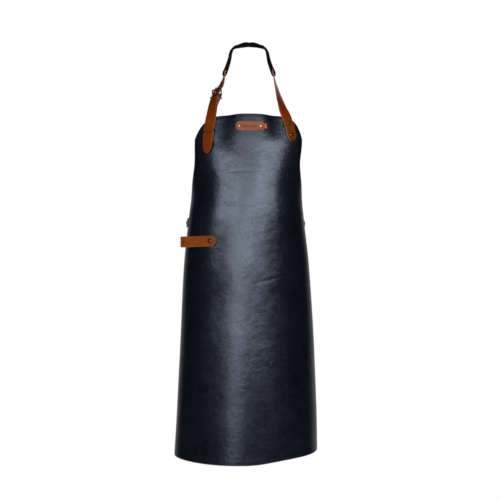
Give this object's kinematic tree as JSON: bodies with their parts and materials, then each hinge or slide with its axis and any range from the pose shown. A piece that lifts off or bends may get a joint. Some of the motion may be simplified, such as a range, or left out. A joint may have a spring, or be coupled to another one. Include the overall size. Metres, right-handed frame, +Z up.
{
  "type": "leather bib apron",
  "caption": "Long bib apron in thick dark leather with riveted brown straps, buckled neck loop, towel loop and buckled waist belt, shaped as worn.",
  "frame": {"origin": "middle of the neck band's inner face, where it rests on the back of the neck", "axes": "+Z up, the wearer faces -Y, +X is the wearer's left"},
  "size_m": [0.3746, 0.2488, 1.0951],
  "materials": {
    "panel": "full-grain, waxed, slightly glossy",
    "strap": "smooth vegetable-tanned cognac",
    "towel": "smooth vegetable-tanned cognac",
    "label": "embossed light brown",
    "band": "gathered elastic",
    "tag": "woven",
    "bronze": "dark oxidised bronze",
    "prong_steel": "polished",
    "pale_gold": "pale gold"
  },
  "bodies": {
    "neck_loop": {"neck_band": "band", "right_strap": "strap", "adjuster_strap": "strap", "buckle_strap": "strap"},
    "neck_buckle": {"neck_buckle_frame": "bronze"},
    "neck_prong": {"neck_buckle_prong": "prong_steel"},
    "upper_keeper": {"upper_keeper": "bronze"},
    "apron": {"apron_panel": "panel", "right_strap_foot": "strap", "right_strap_rivets": "bronze", "right_strap_rivet_backs": "bronze", "buckle_strap_foot": "strap", "left_strap_rivets": "bronze", "left_strap_rivet_backs": "bronze", "adjuster_tail": "strap", "label": "label", "side_tag": "tag", "label_rivets": "pale_gold", "label_rivet_backs": "pale_gold", "towel_loop_back": "towel", "towel_stud_post": "bronze", "left_waist_strap": "strap", "left_waist_rivets": "bronze", "left_waist_rivet_backs": "bronze", "right_waist_strap": "strap", "right_waist_rivets": "bronze", "right_waist_rivet_backs": "bronze"},
    "lower_keeper": {"lower_keeper": "bronze"},
    "towel_flap": {"towel_loop_flap": "towel", "towel_stud_cap": "bronze", "towel_stud_socket": "bronze"},
    "waist_buckle": {"waist_buckle_frame": "bronze"},
    "waist_prong": {"waist_buckle_prong": "prong_steel"},
    "waist_keeper": {"waist_keeper": "bronze"}
  },
  "joints": [
    {"name": "bib_fold", "type": "hinge", "parent": "neck_loop", "child": "apron", "pos_m": [0, -0.1515, -0.211], "axis": [1, 0, 0], "range_deg": [-30, 30]},
    {"name": "neck_buckle_tilt", "type": "hinge", "parent": "neck_loop", "child": "neck_buckle", "pos_m": [-0.08206, -0.11345, -0.15626], "axis": [0.7518, -0.6309, 0.1918], "range_deg": [0, 10]},
    {"name": "neck_prong_swing", "type": "hinge", "parent": "neck_buckle", "child": "neck_prong", "pos_m": [-0.08206, -0.11345, -0.15626], "axis": [0.7518, -0.6309, 0.1918], "range_deg": [0, 12]},
    {"name": "upper_keeper_slide", "type": "slide", "parent": "neck_loop", "child": "upper_keeper", "axis": [-0.2608, -0.5516, -0.7923], "range_m": [-0.003, 0.007]},
    {"name": "lower_keeper_slide", "type": "slide", "parent": "apron", "child": "lower_keeper", "axis": [0.0305, 0.0745, 0.9968], "range_m": [-0.0035, 0.0035]},
    {"name": "towel_flap_open", "type": "hinge", "parent": "apron", "child": "towel_flap", "pos_m": [-0.17491, -0.15007, -0.53151], "axis": [0.0082, -0.0599, -0.9982], "range_deg": [0, 75]},
    {"name": "waist_buckle_tilt", "type": "hinge", "parent": "apron", "child": "waist_buckle", "pos_m": [0.06508, 0.01968, -0.47951], "axis": [0, 0, -1], "range_deg": [0, 10]},
    {"name": "waist_prong_swing", "type": "hinge", "parent": "waist_buckle", "child": "waist_prong", "pos_m": [0.06508, 0.01968, -0.47951], "axis": [0, 0, -1], "range_deg": [0, 12]},
    {"name": "waist_keeper_slide", "type": "slide", "parent": "apron", "child": "waist_keeper", "axis": [0.9431, -0.3325, 0], "range_m": [-0.003, 0.006]}
  ]
}
